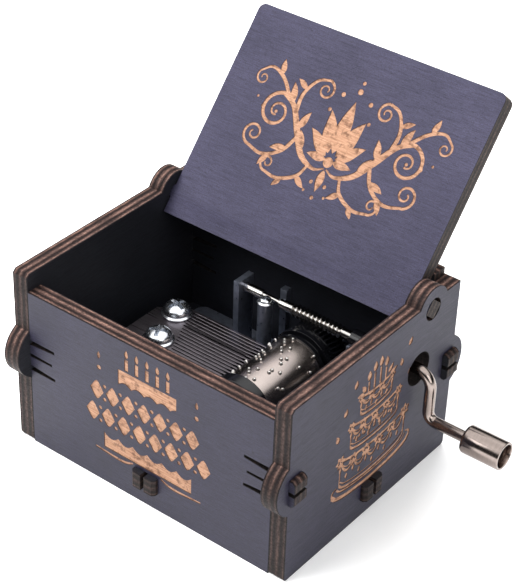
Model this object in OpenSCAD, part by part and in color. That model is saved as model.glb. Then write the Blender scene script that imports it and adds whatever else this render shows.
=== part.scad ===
// Hand crank music box: a plywood case that snaps together, a lid on two wooden
// tenons, and a pinned-cylinder movement turned through a worm by a bent crank.
// The frame is millimetres: the origin is on the table under the middle of the
// case, +X points to the crank, +Y to the back and +Z up. The lid stands open.

/* [Case] */
// Width over the two side panels
box_w = 64; // [62:0.5:80]
// Depth over the front and back panels
box_d = 50.5; // [50:0.5:70]
// Thickness of the plywood
ply = 3.6; // [3.4:0.1:3.8]
// Height of the side panels
side_h = 38.3; // [38:0.1:60]
// Gap between the table and the bottom panel
floor_gap = 4; // [3.6:0.1:4.2]
// Rounding of the side panels' bottom corners
foot_r = 0.8; // [0.4:0.1:3]
// Chamfer at the front top corner of a side panel
top_chamfer = 0.7; // [0.2:0.1:1.5]
// Radius of the lobes around the tab slots
lobe_r = 5.9; // [5.6:0.1:6.4]
// How far these lobes stand out of the front and the back
lobe_out = 3.2; // [2.6:0.1:3.6]
// Radius of the hole that the crank passes through
crank_hole_r = 3.4; // [2:0.1:4]

/* [Lid] */
// Angle of the open lid from the closed one
lid_open = 130.5; // [122:0.5:134]
// Distance from the pivot to the lid's free edge
lid_reach = 40.5; // [36:0.1:41]
// Distance from the pivot to the lid's hinge edge
lid_tail = 4.5; // [3.6:0.1:4.6]
// Gap between the lid and each side panel
lid_gap = 0.2; // [0.1:0.05:0.5]
// Rounding of the lid's corners
lid_corner_r = 1.5; // [0.5:0.1:3]
// Distance from the back of the case to the pivot
pivot_inset = 8.7; // [8.5:0.1:9]
// Radius of the lobe around the pivot hole
pivot_lobe_r = 4.6; // [4:0.1:5]
// Radius of the pivot hole
pivot_hole_r = 2.25; // [2.1:0.05:2.5]
// Radial running clearance of every turning fit
fit_gap = 0.05; // [0.03:0.01:0.08]
// Width of a lid tenon before its corners are rounded
tenon_w = 3.2; // [2.8:0.1:3.6]

/* [Snap tabs] */
// Height of the front and back panels' tabs above the table
tab_z = 20.6; // [19:0.1:22]
// Half the width of a tab
tab_half = 2.4; // [2.1:0.1:3]
// How far a tab stands out of the panel it locks
tab_out = 1.3; // [1.2:0.1:2.2]
// Overhang of a barb
barb = 0.4; // [0.3:0.1:0.8]
// Length of the slits that let the prongs flex
slit_len = 6.1; // [4:0.1:8]

/* [Drum] */
// Outer radius of the drum shell
drum_r = 6.2; // [6:0.1:6.3]
// Wall of the drum shell
drum_wall = 0.4; // [0.3:0.05:0.6]
// How far the pins stand out of the shell
pin_out = 0.45; // [0.3:0.05:0.45]
// Radius of a pin
pin_r = 0.25; // [0.15:0.01:0.25]
// Pins on each track
pins_per_track = 5; // [1:1:5]

/* [Comb] */
// Number of teeth
teeth = 18; // [16:2:18]
// Spacing of the teeth
tooth_pitch = 0.88; // [0.84:0.01:0.88]
// Width of the slit between two teeth
tooth_slit = 0.32; // [0.15:0.01:0.32]
// Height of the comb's upper face above the table
comb_top = 19.4; // [19:0.1:19.6]

/* [Crank] */
// Radius of the crank rod
rod_r = 1.1; // [0.9:0.05:1.1]
// Distance from the shaft's axis to the knob's axis
crank_arm = 10.1; // [8:0.1:14]
// Outer radius of the knob
knob_r = 2.8; // [2.7:0.1:3.5]
// Length of the knob
knob_len = 8.1; // [7:0.1:12]

/* [Hidden] */
$fn = 64;
eps = 0.01;

// Colours
ply_color = [0.36, 0.36, 0.43];
zinc_color = [0.30, 0.31, 0.33];
comb_color = [0.36, 0.34, 0.35];
nickel_color = [0.78, 0.77, 0.76];
black_color = [0.07, 0.07, 0.08];
lead_color = [0.40, 0.41, 0.44];

// Case
half_w = box_w / 2;
half_d = box_d / 2;
inner_w = half_w - ply;
inner_d = half_d - ply;
front_h = side_h - ply;
floor_top = floor_gap + ply;
slit_clear = 0.05;
panel_slot = tab_half + slit_clear;

// Lid and its stop on the back panel
lid_rest_gap = 0.02;
pivot_y = half_d - pivot_inset;
pivot_z = side_h - ply / 2 + lid_rest_gap;
lid_half_w = inner_w - lid_gap;
lid_tilt = 180 - lid_open;
stop_s = (inner_d - pivot_y - ply / 2 * sin(lid_open)) / cos(lid_tilt);
back_h = pivot_z - ply / 2 * cos(lid_tilt) + stop_s * sin(lid_tilt) - 0.04;
tenon_r = pivot_hole_r - fit_gap;

// Worm and worm wheel: teeth of the wheel, module, pitch radius of the worm
wheel_teeth = 40;
gear_module = 0.3;
worm_r = 1.05;

// Worm shaft, wheel and drum axes
shaft_y = 13.4;
shaft_z = 24.9;
wheel_r = gear_module * wheel_teeth / 2;
drum_x = 9.2;
drum_z = shaft_z - worm_r - wheel_r;
wheel_w = 4;
worm_pitch = PI * gear_module;
addendum = gear_module;
dedendum = 1.25 * gear_module;
gear_flank = tan(20);
half_tooth = 0.2;
worm_x0 = 3.4;
worm_x1 = 15;

// Drum, front to back
drum_y0 = -8.8;
drum_y1 = 6.9;
cap_y0 = -11.4;
front_flange_r = 6.9;
cap_flange_r = 6.5;
cap_step_y = 7.7;
collar_r = 6.7;
collar_y0 = 8.7;
collar_y1 = 9.7;
cap_neck_r = 5.5;
hub_r = 2;
hub_y0 = -13.5;
hub_y1 = 16.5;
arbor_r = 0.8;
arbor_y0 = -15.1;
arbor_y1 = 18.3;
bearing_y0 = -14.6;
bearing_y1 = -13.6;
lug_y0 = 16.6;
lug_y1 = 18.9;

// Comb: bass teeth at the back, their roots on a slanted line
comb_y0 = -8.9;
comb_y1 = comb_y0 + teeth * tooth_pitch;
comb_back_x = -21.8;
comb_corner_y = 3;
root_x0 = -9.4;
root_x1 = -16.2;
comb_thick = 1;
tooth_thick = 0.7;
tip_x = 2.5;
tip_len = 1.3;
base_h = 3.4;
base_z = comb_top - comb_thick - base_h;
comb_screw_at = [[-14.6, -4.95], [-17.4, 3.8]];
comb_screw_r = 1.25;
comb_head_r = 3.1;
comb_head_h = 2.4;

// Bedplate
bed_thick = 2.4;
bed_top = floor_top + bed_thick;
bed_x0 = -24;
bed_x1 = 21.4;
bed_y0 = bearing_y1;
bed_y1 = 19.6;
bed_corner_r = 2;
bed_screw_at = [[-20.4, -10.8], [-20.4, 15.6], [18.4, -2]];
bed_screw_r = 1.25;
screw_gap = 0.05;

// Shaft bearings
left_lug_x = [-9.4, -8.1];
right_lug_x = [17.4, 19.6];
lug_half = 2.3;
lug_top = 26.9;
right_lug_top = 24.2;
cradle_half = 1.8;
journal_r = 1;
neck_r = 0.6;
neck_x = [-3.8, 0.3];
post_at = [-1.75, 11.2];
post_r = 1.45;
post_top = 25.3;
guard_at = [-0.6, 16.1];
guard_w = 1.5;
guard_top = 26.5;
plate_screw_r = 0.7;
plate_screw_dx = 2.5;
plate_screw_z = bed_top - 1;

// Crank
socket_x = [20.2, 25];
rod_x0 = 21.4;
arm_x = 34.95;
top_bend_r = 3.2;
low_bend_r = 1.9;
knob_x = 43.6;
knob_z = shaft_z - crank_arm;
spindle_r = 0.8;
spindle_x = knob_x + 0.7;
recess_len = 2.2;
recess_r = 2.3;
washer_h = 0.5;
knob_x1 = knob_x + knob_len;
recess_x = knob_x1 - recess_len;

// Turns a drawing in the YZ plane into a plate that grows along +X
module plate_x(h) {
    rotate([90, 0, 90]) linear_extrude(h) children();
}

// Turns a drawing in the XZ plane into a plate that grows along +Y
module plate_y(h) {
    translate([0, h, 0]) rotate([90, 0, 0]) linear_extrude(h) children();
}

// A cylinder along +X from x0 to x1
module rod_x(r, x0, x1, y, z) {
    translate([x0, y, z]) rotate([0, 90, 0]) cylinder(r = r, h = x1 - x0);
}

// A cylinder along +Y from y0 to y1
module rod_y(r, y0, y1, x, z) {
    translate([x, y0, z]) rotate([-90, 0, 0]) cylinder(r = r, h = y1 - y0);
}

// Half of a snap tab's outline, from its outer slit to its middle slit: the tab
// grows along +X from a panel's edge at x = 0, and its slits run back from there
function half_tab() =
    let (
        slit_w = 1,
        slit_end_w = 0.5,
        split_w = 0.8,
        split_end_w = 0.4,
        lock_x = ply + slit_clear,
        slope_x = ply + 0.7,
        end_x = ply + tab_out
    )
    [
        [0, -tab_half - slit_w], [-slit_len, -tab_half - slit_w],
        [-slit_len, -tab_half - slit_w + slit_end_w], [0, -tab_half],
        [lock_x, -tab_half], [lock_x, -tab_half - barb], [slope_x, -tab_half - barb],
        [end_x, -tab_half + 0.2], [end_x, -split_w / 2], [0.7 - slit_len, -split_end_w / 2]
    ];

// The whole outline of a snap tab, from low to high
function tab_outline() =
    let (low = half_tab(), last = len(low) - 1)
    [each low, for (i = [last:-1:0]) [low[i][0], -low[i][1]]];

// The tab's outline on a panel edge at the given reach and offset, turned by a
function tab_at(reach, offset, a) = [
    for (p = tab_outline())
        let (x = reach + p[0], y = offset + p[1])
        [x * cos(a) - y * sin(a), x * sin(a) + y * cos(a)]
];

// Outline of a side panel, as [y, z]
module side_outline() {
    lobe_y = half_d - lobe_r + lobe_out;
    difference() {
        union() {
            translate([-half_d, foot_r]) square([box_d, side_h - foot_r]);
            translate([foot_r - half_d, 0]) square([box_d - 2 * foot_r, side_h / 2]);
            for (side = [-1, 1]) {
                translate([side * (half_d - foot_r), foot_r]) circle(r = foot_r);
                translate([side * lobe_y, tab_z]) circle(r = lobe_r);
            }
            translate([pivot_y, pivot_z]) circle(r = pivot_lobe_r);
        }
        translate([-half_d, side_h]) rotate(45) square(top_chamfer * sqrt(2), center = true);
        translate([pivot_y, pivot_z]) circle(r = pivot_hole_r);
        for (side = [-1, 1])
            translate([side * (half_d - ply / 2), tab_z])
                square([ply, 2 * panel_slot], center = true);
        translate([0, floor_gap + ply / 2]) square([2 * panel_slot, ply], center = true);
    }
}

// Outline of the front or back panel, as [x, z]
module end_outline(h) {
    difference() {
        polygon([
            [-inner_w, 0], [inner_w, 0], each tab_at(inner_w, tab_z, 0),
            [inner_w, h], [-inner_w, h], each tab_at(inner_w, -tab_z, 180)
        ]);
        translate([0, floor_gap + ply / 2]) square([2 * panel_slot, ply], center = true);
    }
}

module left_side_panel() {
    color(ply_color) translate([-half_w, 0, 0]) plate_x(ply) side_outline();
}

module right_side_panel() {
    color(ply_color) difference() {
        translate([inner_w, 0, 0]) plate_x(ply) side_outline();
        rod_x(crank_hole_r, inner_w - 1, half_w + 1, shaft_y, shaft_z);
    }
}

module front_panel() {
    color(ply_color) translate([0, -half_d, 0]) plate_y(ply) end_outline(front_h);
}

module back_panel() {
    color(ply_color) translate([0, inner_d, 0]) plate_y(ply) end_outline(back_h);
}

// The bottom panel, with a tab through the middle of each wall
module bottom_panel() {
    color(ply_color) difference() {
        translate([0, 0, floor_gap]) linear_extrude(ply) polygon([
            [inner_w, -inner_d], each tab_at(inner_w, 0, 0),
            [inner_w, inner_d], each tab_at(inner_d, 0, 90),
            [-inner_w, inner_d], each tab_at(inner_w, 0, 180),
            [-inner_w, -inner_d], each tab_at(inner_d, 0, 270)
        ]);
        for (p = bed_screw_at)
            translate([p[0], p[1], 0]) cylinder(r = bed_screw_r + screw_gap, h = bed_top);
    }
}

// The lid lies along its own +Y from the pivot, then tilts to the open angle
module lid() {
    length = lid_reach + lid_tail;
    c = lid_corner_r;
    color(ply_color) translate([0, pivot_y, pivot_z]) rotate([lid_tilt, 0, 0]) {
        translate([-lid_half_w, -lid_tail, -ply / 2]) linear_extrude(ply) {
            square([2 * lid_half_w, length - c]);
            translate([c, 0]) square([2 * (lid_half_w - c), length]);
            for (x = [c, 2 * lid_half_w - c])
                translate([x, length - c]) circle(r = c);
        }
        intersection() {
            rod_x(tenon_r, -half_w, half_w, 0, 0);
            cube([box_w, tenon_w, ply], center = true);
        }
    }
}

// Outline of the comb's root plate and of the blocks under it, as [x, y]
module comb_root_outline(inset) {
    polygon([
        [comb_back_x + inset, comb_y0 + inset], [root_x0 - inset, comb_y0 + inset],
        [root_x1 - inset, comb_y1 - inset], [comb_back_x + inset, comb_corner_y - inset / 2]
    ]);
}

// Outline of the bedplate, with rounded corners, as [x, y]
module bed_outline() {
    r = bed_corner_r;
    translate([bed_x0, bed_y0 + r]) square([bed_x1 - bed_x0, bed_y1 - bed_y0 - 2 * r]);
    translate([bed_x0 + r, bed_y0]) square([bed_x1 - bed_x0 - 2 * r, bed_y1 - bed_y0]);
    for (x = [bed_x0 + r, bed_x1 - r], y = [bed_y0 + r, bed_y1 - r])
        translate([x, y]) circle(r = r);
}

// A lug of the bedplate that carries an end of the worm shaft
module shaft_lug(x, top) {
    translate([x[0], shaft_y - lug_half, bed_top - 1])
        cube([x[1] - x[0], 2 * lug_half, top - bed_top + 1]);
    translate([x[0] - 0.8, shaft_y - lug_half - 0.4, bed_top - 1])
        cube([x[1] - x[0] + 1.6, 2 * lug_half + 0.8, 2.2]);
}

// The die-cast base with everything that grows out of it
module bedplate() {
    color(zinc_color) difference() {
        union() {
            translate([0, 0, floor_top]) linear_extrude(bed_thick) bed_outline();
            translate([0, 0, bed_top - 1]) linear_extrude(base_z - bed_top + 1)
                comb_root_outline(0.4);
            shaft_lug(left_lug_x, lug_top);
            shaft_lug(right_lug_x, right_lug_top);
            translate([post_at[0], post_at[1], bed_top - 1])
                cylinder(r = post_r, h = post_top - bed_top + 1);
            translate([guard_at[0] - guard_w / 2, guard_at[1] - guard_w / 2, bed_top - 1])
                cube([guard_w, guard_w, guard_top - bed_top + 1]);
            translate([drum_x - 2.6, lug_y0, bed_top - 1])
                cube([5.2, lug_y1 - lug_y0, drum_z - bed_top + 1]);
            rod_y(2.6, lug_y0, lug_y1, drum_x, drum_z);
            translate([drum_x - 4.4, bed_y0, bed_top - 1]) cube([8.8, 2.6, 1.6]);
        }
        rod_x(journal_r + fit_gap, left_lug_x[0] - 1, left_lug_x[1] + 1, shaft_y, shaft_z);
        translate([right_lug_x[0] - 1, shaft_y - cradle_half, shaft_z - cradle_half])
            cube([right_lug_x[1] - right_lug_x[0] + 2, 2 * cradle_half, 10]);
        rod_y(arbor_r + fit_gap, lug_y0 - 1, lug_y1 - 0.5, drum_x, drum_z);
        for (dx = [-plate_screw_dx, plate_screw_dx])
            rod_y(plate_screw_r, bed_y0 - 1, bed_y0 + 3, drum_x + dx, plate_screw_z);
        for (p = comb_screw_at)
            translate([p[0], p[1], bed_top]) cylinder(r = comb_screw_r, h = base_z);
        for (p = bed_screw_at)
            translate([p[0], p[1], floor_top - 1]) cylinder(r = bed_screw_r, h = bed_thick + 2);
        translate([post_at[0], post_at[1], post_top - 6]) cylinder(r = 0.8, h = 7);
    }
}

// A cross recess cut downwards from z = 0
module cross_recess(length, width, depth) {
    for (a = [0, 90])
        rotate(a) translate([-length / 2, -width / 2, -depth]) cube([length, width, depth + 1]);
}

// A screw whose head sits on z = 0 and whose shank hangs below it
module cross_screw(head_r, head_h, shank_r, shank_len, turn) {
    difference() {
        union() {
            translate([0, 0, -shank_len]) cylinder(r = shank_r, h = shank_len + head_h / 2);
            cylinder(r = head_r, h = head_h * 0.55);
            translate([0, 0, head_h * 0.55 - eps])
                cylinder(r1 = head_r * 0.92, r2 = head_r * 0.7, h = head_h * 0.45);
        }
        translate([0, 0, head_h]) rotate(turn)
            cross_recess(head_r * 1.1, head_r * 0.24, head_h * 0.6);
    }
}

// Three screws up through the bottom panel into the bedplate
module movement_screws() {
    color(nickel_color) for (p = bed_screw_at)
        translate([p[0], p[1], floor_gap]) rotate([180, 0, 0])
            cross_screw(2.3, 1.4, bed_screw_r, ply + bed_thick - 0.4, 20);
}

module comb_base() {
    color(zinc_color) difference() {
        translate([0, 0, base_z]) linear_extrude(base_h) comb_root_outline(0.2);
        for (p = comb_screw_at)
            translate([p[0], p[1], base_z - 1])
                cylinder(r = comb_screw_r + screw_gap, h = base_h + 2);
    }
}

// Middle of tooth i, and the x of its root on the slanted line
function tooth_y(i) = comb_y0 + (i + 0.5) * tooth_pitch;
function root_x(i) = root_x0 + (root_x1 - root_x0) * (i + 0.5) / teeth;

module comb() {
    width = tooth_pitch - tooth_slit;
    color(comb_color) difference() {
        union() {
            translate([0, 0, comb_top - comb_thick]) linear_extrude(comb_thick)
                comb_root_outline(0);
            for (i = [0:teeth - 1]) {
                translate([root_x(i) - 1, tooth_y(i) - width / 2, comb_top - tooth_thick])
                    cube([tip_x - tip_len - root_x(i) + 1, width, tooth_thick]);
                translate([tip_x - tip_len - eps, tooth_y(i) - width / 3, comb_top - tooth_thick])
                    cube([tip_len + eps, width * 2 / 3, tooth_thick]);
            }
        }
        for (p = comb_screw_at)
            translate([p[0], p[1], comb_top - 2]) cylinder(r = comb_screw_r + screw_gap, h = 3);
    }
}

// Lead under the bass half of the teeth, heavier towards the back
module comb_weights() {
    first = teeth / 2;
    color(lead_color) for (i = [first:teeth - 1]) {
        drop = 0.6 + 1.6 * (i - first) / (teeth - first);
        translate([tip_x - 5.8, tooth_y(i) - 0.3, comb_top - tooth_thick - drop])
            cube([3.6, 0.6, drop]);
    }
}

// Thin damper strips under the bass teeth, behind their tips
module comb_dampers() {
    color(black_color) for (i = [teeth / 2:teeth - 1])
        translate([tip_x - 1.9, tooth_y(i) - 0.2, comb_top - tooth_thick - 0.15])
            cube([1.3, 0.4, 0.15]);
}

module comb_screws() {
    color(nickel_color) for (i = [0, 1])
        translate([comb_screw_at[i][0], comb_screw_at[i][1], comb_top])
            cross_screw(comb_head_r, comb_head_h, comb_screw_r, comb_top - bed_top - 0.5, 25 + 50 * i);
}

module drum_shell() {
    color(nickel_color) difference() {
        rod_y(drum_r, drum_y0, drum_y1, drum_x, drum_z);
        rod_y(drum_r - drum_wall, drum_y0 - 1, drum_y1 + 1, drum_x, drum_z);
    }
}

// Step of the drum at which pin k of track t stands; a turn has 60 steps
function pin_step(t, k) = (t * 23 + k * 60 / pins_per_track + (5 * t * t + 7 * k * k) % 13) % 60;

module drum_pins() {
    inside = drum_r - drum_wall + 0.05;
    color(nickel_color) for (t = [0:teeth - 1], k = [0:pins_per_track - 1])
        translate([drum_x, tooth_y(t), drum_z]) rotate([0, 6 * floor(pin_step(t, k)), 0])
            translate([0, 0, inside])
                cylinder(r = pin_r, h = drum_r + pin_out - inside, $fn = 16);
}

module drum_front_cap() {
    color(black_color) difference() {
        union() {
            rod_y(front_flange_r, cap_y0, drum_y0, drum_x, drum_z);
            rod_y(drum_r - drum_wall, drum_y0 - eps, drum_y0 + 2, drum_x, drum_z);
            rod_y(hub_r, hub_y0, cap_y0 + eps, drum_x, drum_z);
        }
        rod_y(arbor_r, hub_y0 - 1, drum_y0 + 3, drum_x, drum_z);
    }
}

// Points of one wheel tooth around angle a, from root to tip and back
function wheel_tooth(a) =
    let (
        root = wheel_r - dedendum,
        tip = wheel_r + addendum,
        root_a = (half_tooth + dedendum * gear_flank) / root * 180 / PI,
        tip_a = (half_tooth - addendum * gear_flank) / tip * 180 / PI
    )
    [
        for (p = [[root, -root_a], [tip, -tip_a], [tip, tip_a], [root, root_a]])
            p[0] * [cos(a + p[1]), sin(a + p[1])]
    ];

// The drum's rear cap with the helical worm wheel moulded on
module worm_wheel() {
    lead_slope = worm_pitch / (2 * PI * worm_r);
    wheel_twist = wheel_w * lead_slope / wheel_r * 180 / PI;
    wheel_y0 = shaft_y - wheel_w / 2;
    color(black_color) difference() {
        union() {
            rod_y(drum_r - drum_wall, drum_y1 - 2, drum_y1 + eps, drum_x, drum_z);
            rod_y(cap_flange_r, drum_y1, cap_step_y, drum_x, drum_z);
            rod_y(cap_neck_r, cap_step_y - eps, wheel_y0 + eps, drum_x, drum_z);
            rod_y(collar_r, collar_y0, collar_y1, drum_x, drum_z);
            translate([drum_x, wheel_y0, drum_z]) rotate([-90, 0, 0])
                rotate(-wheel_twist / 2)
                    linear_extrude(wheel_w, twist = -wheel_twist, slices = 4)
                        polygon([
                            for (i = [0:wheel_teeth - 1])
                                each wheel_tooth(i * 360 / wheel_teeth)
                        ]);
            rod_y(hub_r, wheel_y0 + 1, hub_y1, drum_x, drum_z);
        }
        rod_y(arbor_r, drum_y1 - 3, hub_y1 + 1, drum_x, drum_z);
    }
}

module drum_arbor() {
    color(nickel_color) rod_y(arbor_r, arbor_y0, arbor_y1, drum_x, drum_z);
}

// The steel plate on the bedplate's front edge that carries the arbor
module drum_bearing_plate() {
    foot = 4.2;
    color(nickel_color) difference() {
        translate([0, bearing_y0, 0]) plate_y(bearing_y1 - bearing_y0) {
            translate([drum_x - foot, floor_top + 0.3]) square([2 * foot, 4]);
            polygon([
                [drum_x - foot, floor_top + 4], [drum_x + foot, floor_top + 4],
                [drum_x + 2.4, drum_z], [drum_x - 2.4, drum_z]
            ]);
            translate([drum_x, drum_z]) circle(r = 2.4);
        }
        rod_y(arbor_r + fit_gap, bearing_y0 - 1, bearing_y1 + 1, drum_x, drum_z);
        for (dx = [-plate_screw_dx, plate_screw_dx])
            rod_y(plate_screw_r + screw_gap, bearing_y0 - 1, bearing_y1 + 1,
                  drum_x + dx, plate_screw_z);
    }
}

module bearing_plate_screws() {
    color(nickel_color) for (dx = [-plate_screw_dx, plate_screw_dx])
        translate([drum_x + dx, bearing_y0, plate_screw_z]) rotate([90, 0, 0])
            cross_screw(1.4, 0.9, plate_screw_r, 3.6, 10);
}

// Radius of the worm at phase u of a turn, from -0.5 to 0.5 around the crest
function worm_edge(u) =
    let (
        from_mid = abs(u) * worm_pitch,
        above = (half_tooth - from_mid) / gear_flank
    )
    worm_r + max(-dedendum, min(addendum, above));

// The right-handed thread from worm_x0 to worm_x1, with a gap under drum_x
module worm_thread() {
    sides = 16;
    length = worm_x1 - worm_x0;
    turns = length / worm_pitch;
    crest_a = 180 - 360 * (drum_x - worm_x0) / worm_pitch;
    translate([worm_x0, shaft_y, shaft_z]) rotate([0, 90, 0]) rotate(crest_a)
        linear_extrude(length, twist = -360 * turns, slices = ceil(12 * turns), $fn = sides)
            polygon([
                for (i = [0:sides - 1])
                    let (u = i / sides - 0.5)
                    worm_edge(u) * [cos(360 * u), sin(360 * u)]
            ]);
}

// The shaft: journals, neck, worm, and the socket for the crank rod
module worm_shaft() {
    color(nickel_color) {
        worm_thread();
        rod_x(journal_r, left_lug_x[0] - 0.7, neck_x[0], shaft_y, shaft_z);
        rod_x(neck_r, neck_x[0] - eps, neck_x[1] + eps, shaft_y, shaft_z);
        rod_x(journal_r, neck_x[1], worm_x0, shaft_y, shaft_z);
        rod_x(journal_r, worm_x1, socket_x[0], shaft_y, shaft_z);
        difference() {
            rod_x(1.75, socket_x[0] - eps, socket_x[1], shaft_y, shaft_z);
            rod_x(rod_r, rod_x0, socket_x[1] + 1, shaft_y, shaft_z);
        }
    }
}

// The plastic block in the right lug that the shaft turns in
module shaft_bearing() {
    half = cradle_half;
    x0 = right_lug_x[0];
    x1 = right_lug_x[1];
    color(black_color) difference() {
        union() {
            rod_x(half, x0, x1, shaft_y, shaft_z);
            translate([x0, shaft_y - half, shaft_z - half]) cube([x1 - x0, 2 * half, half]);
        }
        rod_x(journal_r + fit_gap, x0 - 1, x1 + 1, shaft_y, shaft_z);
    }
}

module shaft_retaining_screw() {
    color(nickel_color) translate([post_at[0], post_at[1], post_top])
        cross_screw(1.6, 1.1, 0.8, 5.5, 30);
}

// A quarter bend of the rod in the XZ plane around [x, z], from angle a
module rod_bend(x, z, bend_r, a) {
    translate([x, shaft_y, z]) rotate([90, 0, 0])
        rotate_extrude(start = a, angle = 90) translate([bend_r, 0]) circle(r = rod_r);
}

// The rod: out along the shaft, down the arm, out again through the knob
module crank_rod() {
    color(nickel_color) {
        rod_x(rod_r, rod_x0, arm_x - top_bend_r, shaft_y, shaft_z);
        rod_bend(arm_x - top_bend_r, shaft_z - top_bend_r, top_bend_r, 0);
        translate([arm_x, shaft_y, knob_z + low_bend_r])
            cylinder(r = rod_r, h = crank_arm - top_bend_r - low_bend_r);
        rod_bend(arm_x + low_bend_r, knob_z + low_bend_r, low_bend_r, 180);
        rod_x(rod_r, arm_x + low_bend_r, spindle_x, shaft_y, knob_z);
        rod_x(spindle_r, spindle_x - eps, recess_x + washer_h + 0.35, shaft_y, knob_z);
    }
}

module knob_washer() {
    color(nickel_color) difference() {
        rod_x(1.5, recess_x + 0.06, recess_x + 0.06 + washer_h, shaft_y, knob_z);
        rod_x(spindle_r, recess_x - 1, recess_x + 2, shaft_y, knob_z);
    }
}

// The knob: a barrel with a chamfer at each end, turning on the spindle
module crank_knob() {
    chamfer = 0.3;
    step = spindle_x - knob_x + 0.04;
    color(nickel_color) translate([knob_x, shaft_y, knob_z]) rotate([0, 90, 0])
        rotate_extrude() polygon([
            [rod_r + fit_gap, 0], [knob_r - chamfer, 0], [knob_r, chamfer],
            [knob_r, knob_len - chamfer], [knob_r - chamfer, knob_len],
            [recess_r, knob_len], [recess_r, knob_len - recess_len],
            [spindle_r + fit_gap, knob_len - recess_len], [spindle_r + fit_gap, step],
            [rod_r + fit_gap, step]
        ]);
}

left_side_panel();
right_side_panel();
front_panel();
back_panel();
bottom_panel();
lid();
bedplate();
movement_screws();
comb_base();
comb();
comb_weights();
comb_dampers();
comb_screws();
drum_shell();
drum_pins();
drum_front_cap();
worm_wheel();
drum_arbor();
drum_bearing_plate();
bearing_plate_screws();
worm_shaft();
shaft_bearing();
shaft_retaining_screw();
crank_rod();
knob_washer();
crank_knob();
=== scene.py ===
import math

import bmesh
import bpy
from mathutils import Matrix, Vector


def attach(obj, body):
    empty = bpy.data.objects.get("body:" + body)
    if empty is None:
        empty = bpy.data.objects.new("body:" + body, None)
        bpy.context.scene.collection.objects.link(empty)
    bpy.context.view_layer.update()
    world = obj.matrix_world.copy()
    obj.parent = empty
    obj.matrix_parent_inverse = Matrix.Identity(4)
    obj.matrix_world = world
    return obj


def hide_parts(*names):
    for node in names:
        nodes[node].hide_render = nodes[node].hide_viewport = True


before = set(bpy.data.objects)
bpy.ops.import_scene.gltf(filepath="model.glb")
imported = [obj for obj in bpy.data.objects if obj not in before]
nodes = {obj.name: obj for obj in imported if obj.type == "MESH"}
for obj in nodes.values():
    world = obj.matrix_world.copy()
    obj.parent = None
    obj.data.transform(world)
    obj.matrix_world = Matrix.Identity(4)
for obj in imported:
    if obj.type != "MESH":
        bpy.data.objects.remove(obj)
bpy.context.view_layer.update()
scene = bpy.context.scene
MM = 0.001
X_AXIS, Y_AXIS, Z_AXIS = (1, 0, 0), (0, 1, 0), (0, 0, 1)

# Where things are, in millimetres, as in the CAD
PLY = 3.6
HALF_W, HALF_D = 32.0, 25.25
BOTTOM_Z = 4.0
PIVOT = Vector((0, 16.55, 36.52))
LID_TILT = math.radians(49.5)
SHAFT_Y, SHAFT_Z = 13.4, 24.9
DRUM_X, DRUM_Z = 9.2, 17.85
DRUM_R = 6.2
DRUM_PIN_R, DRUM_PIN_OUT = 0.25, 0.45
COMB_TOP = 19.4
COMB_SCREWS_AT = ((-14.6, -4.95), (-17.4, 3.8))
MOVEMENT_SCREWS_AT = ((-20.4, -10.8), (-20.4, 15.6), (18.4, -2))
PLATE_SCREWS_YZ = (-14.6, 9.0)
RETAINING_SCREW_AT = (-1.75, 11.2, 25.3)
KNOB_Z, KNOB_X0, KNOB_X1 = 14.8, 43.6, 51.7
KNOB_R, KNOB_RECESS_R, KNOB_RECESS_DEPTH = 2.8, 2.3, 2.2
ROD_R, ROD_TIP_R, ROD_ARM_X = 1.1, 0.8, 34.95
ROD_BEND_R, ROD_FOOT_R = 3.2, 1.9

# Edges sharper than EASED_DEG are eased, and those sharper than FLAT_DEG are shaded sharp, so that
# a flat face beside an eased edge stays flat
EASED_DEG = 30
FLAT_DEG = 15


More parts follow.
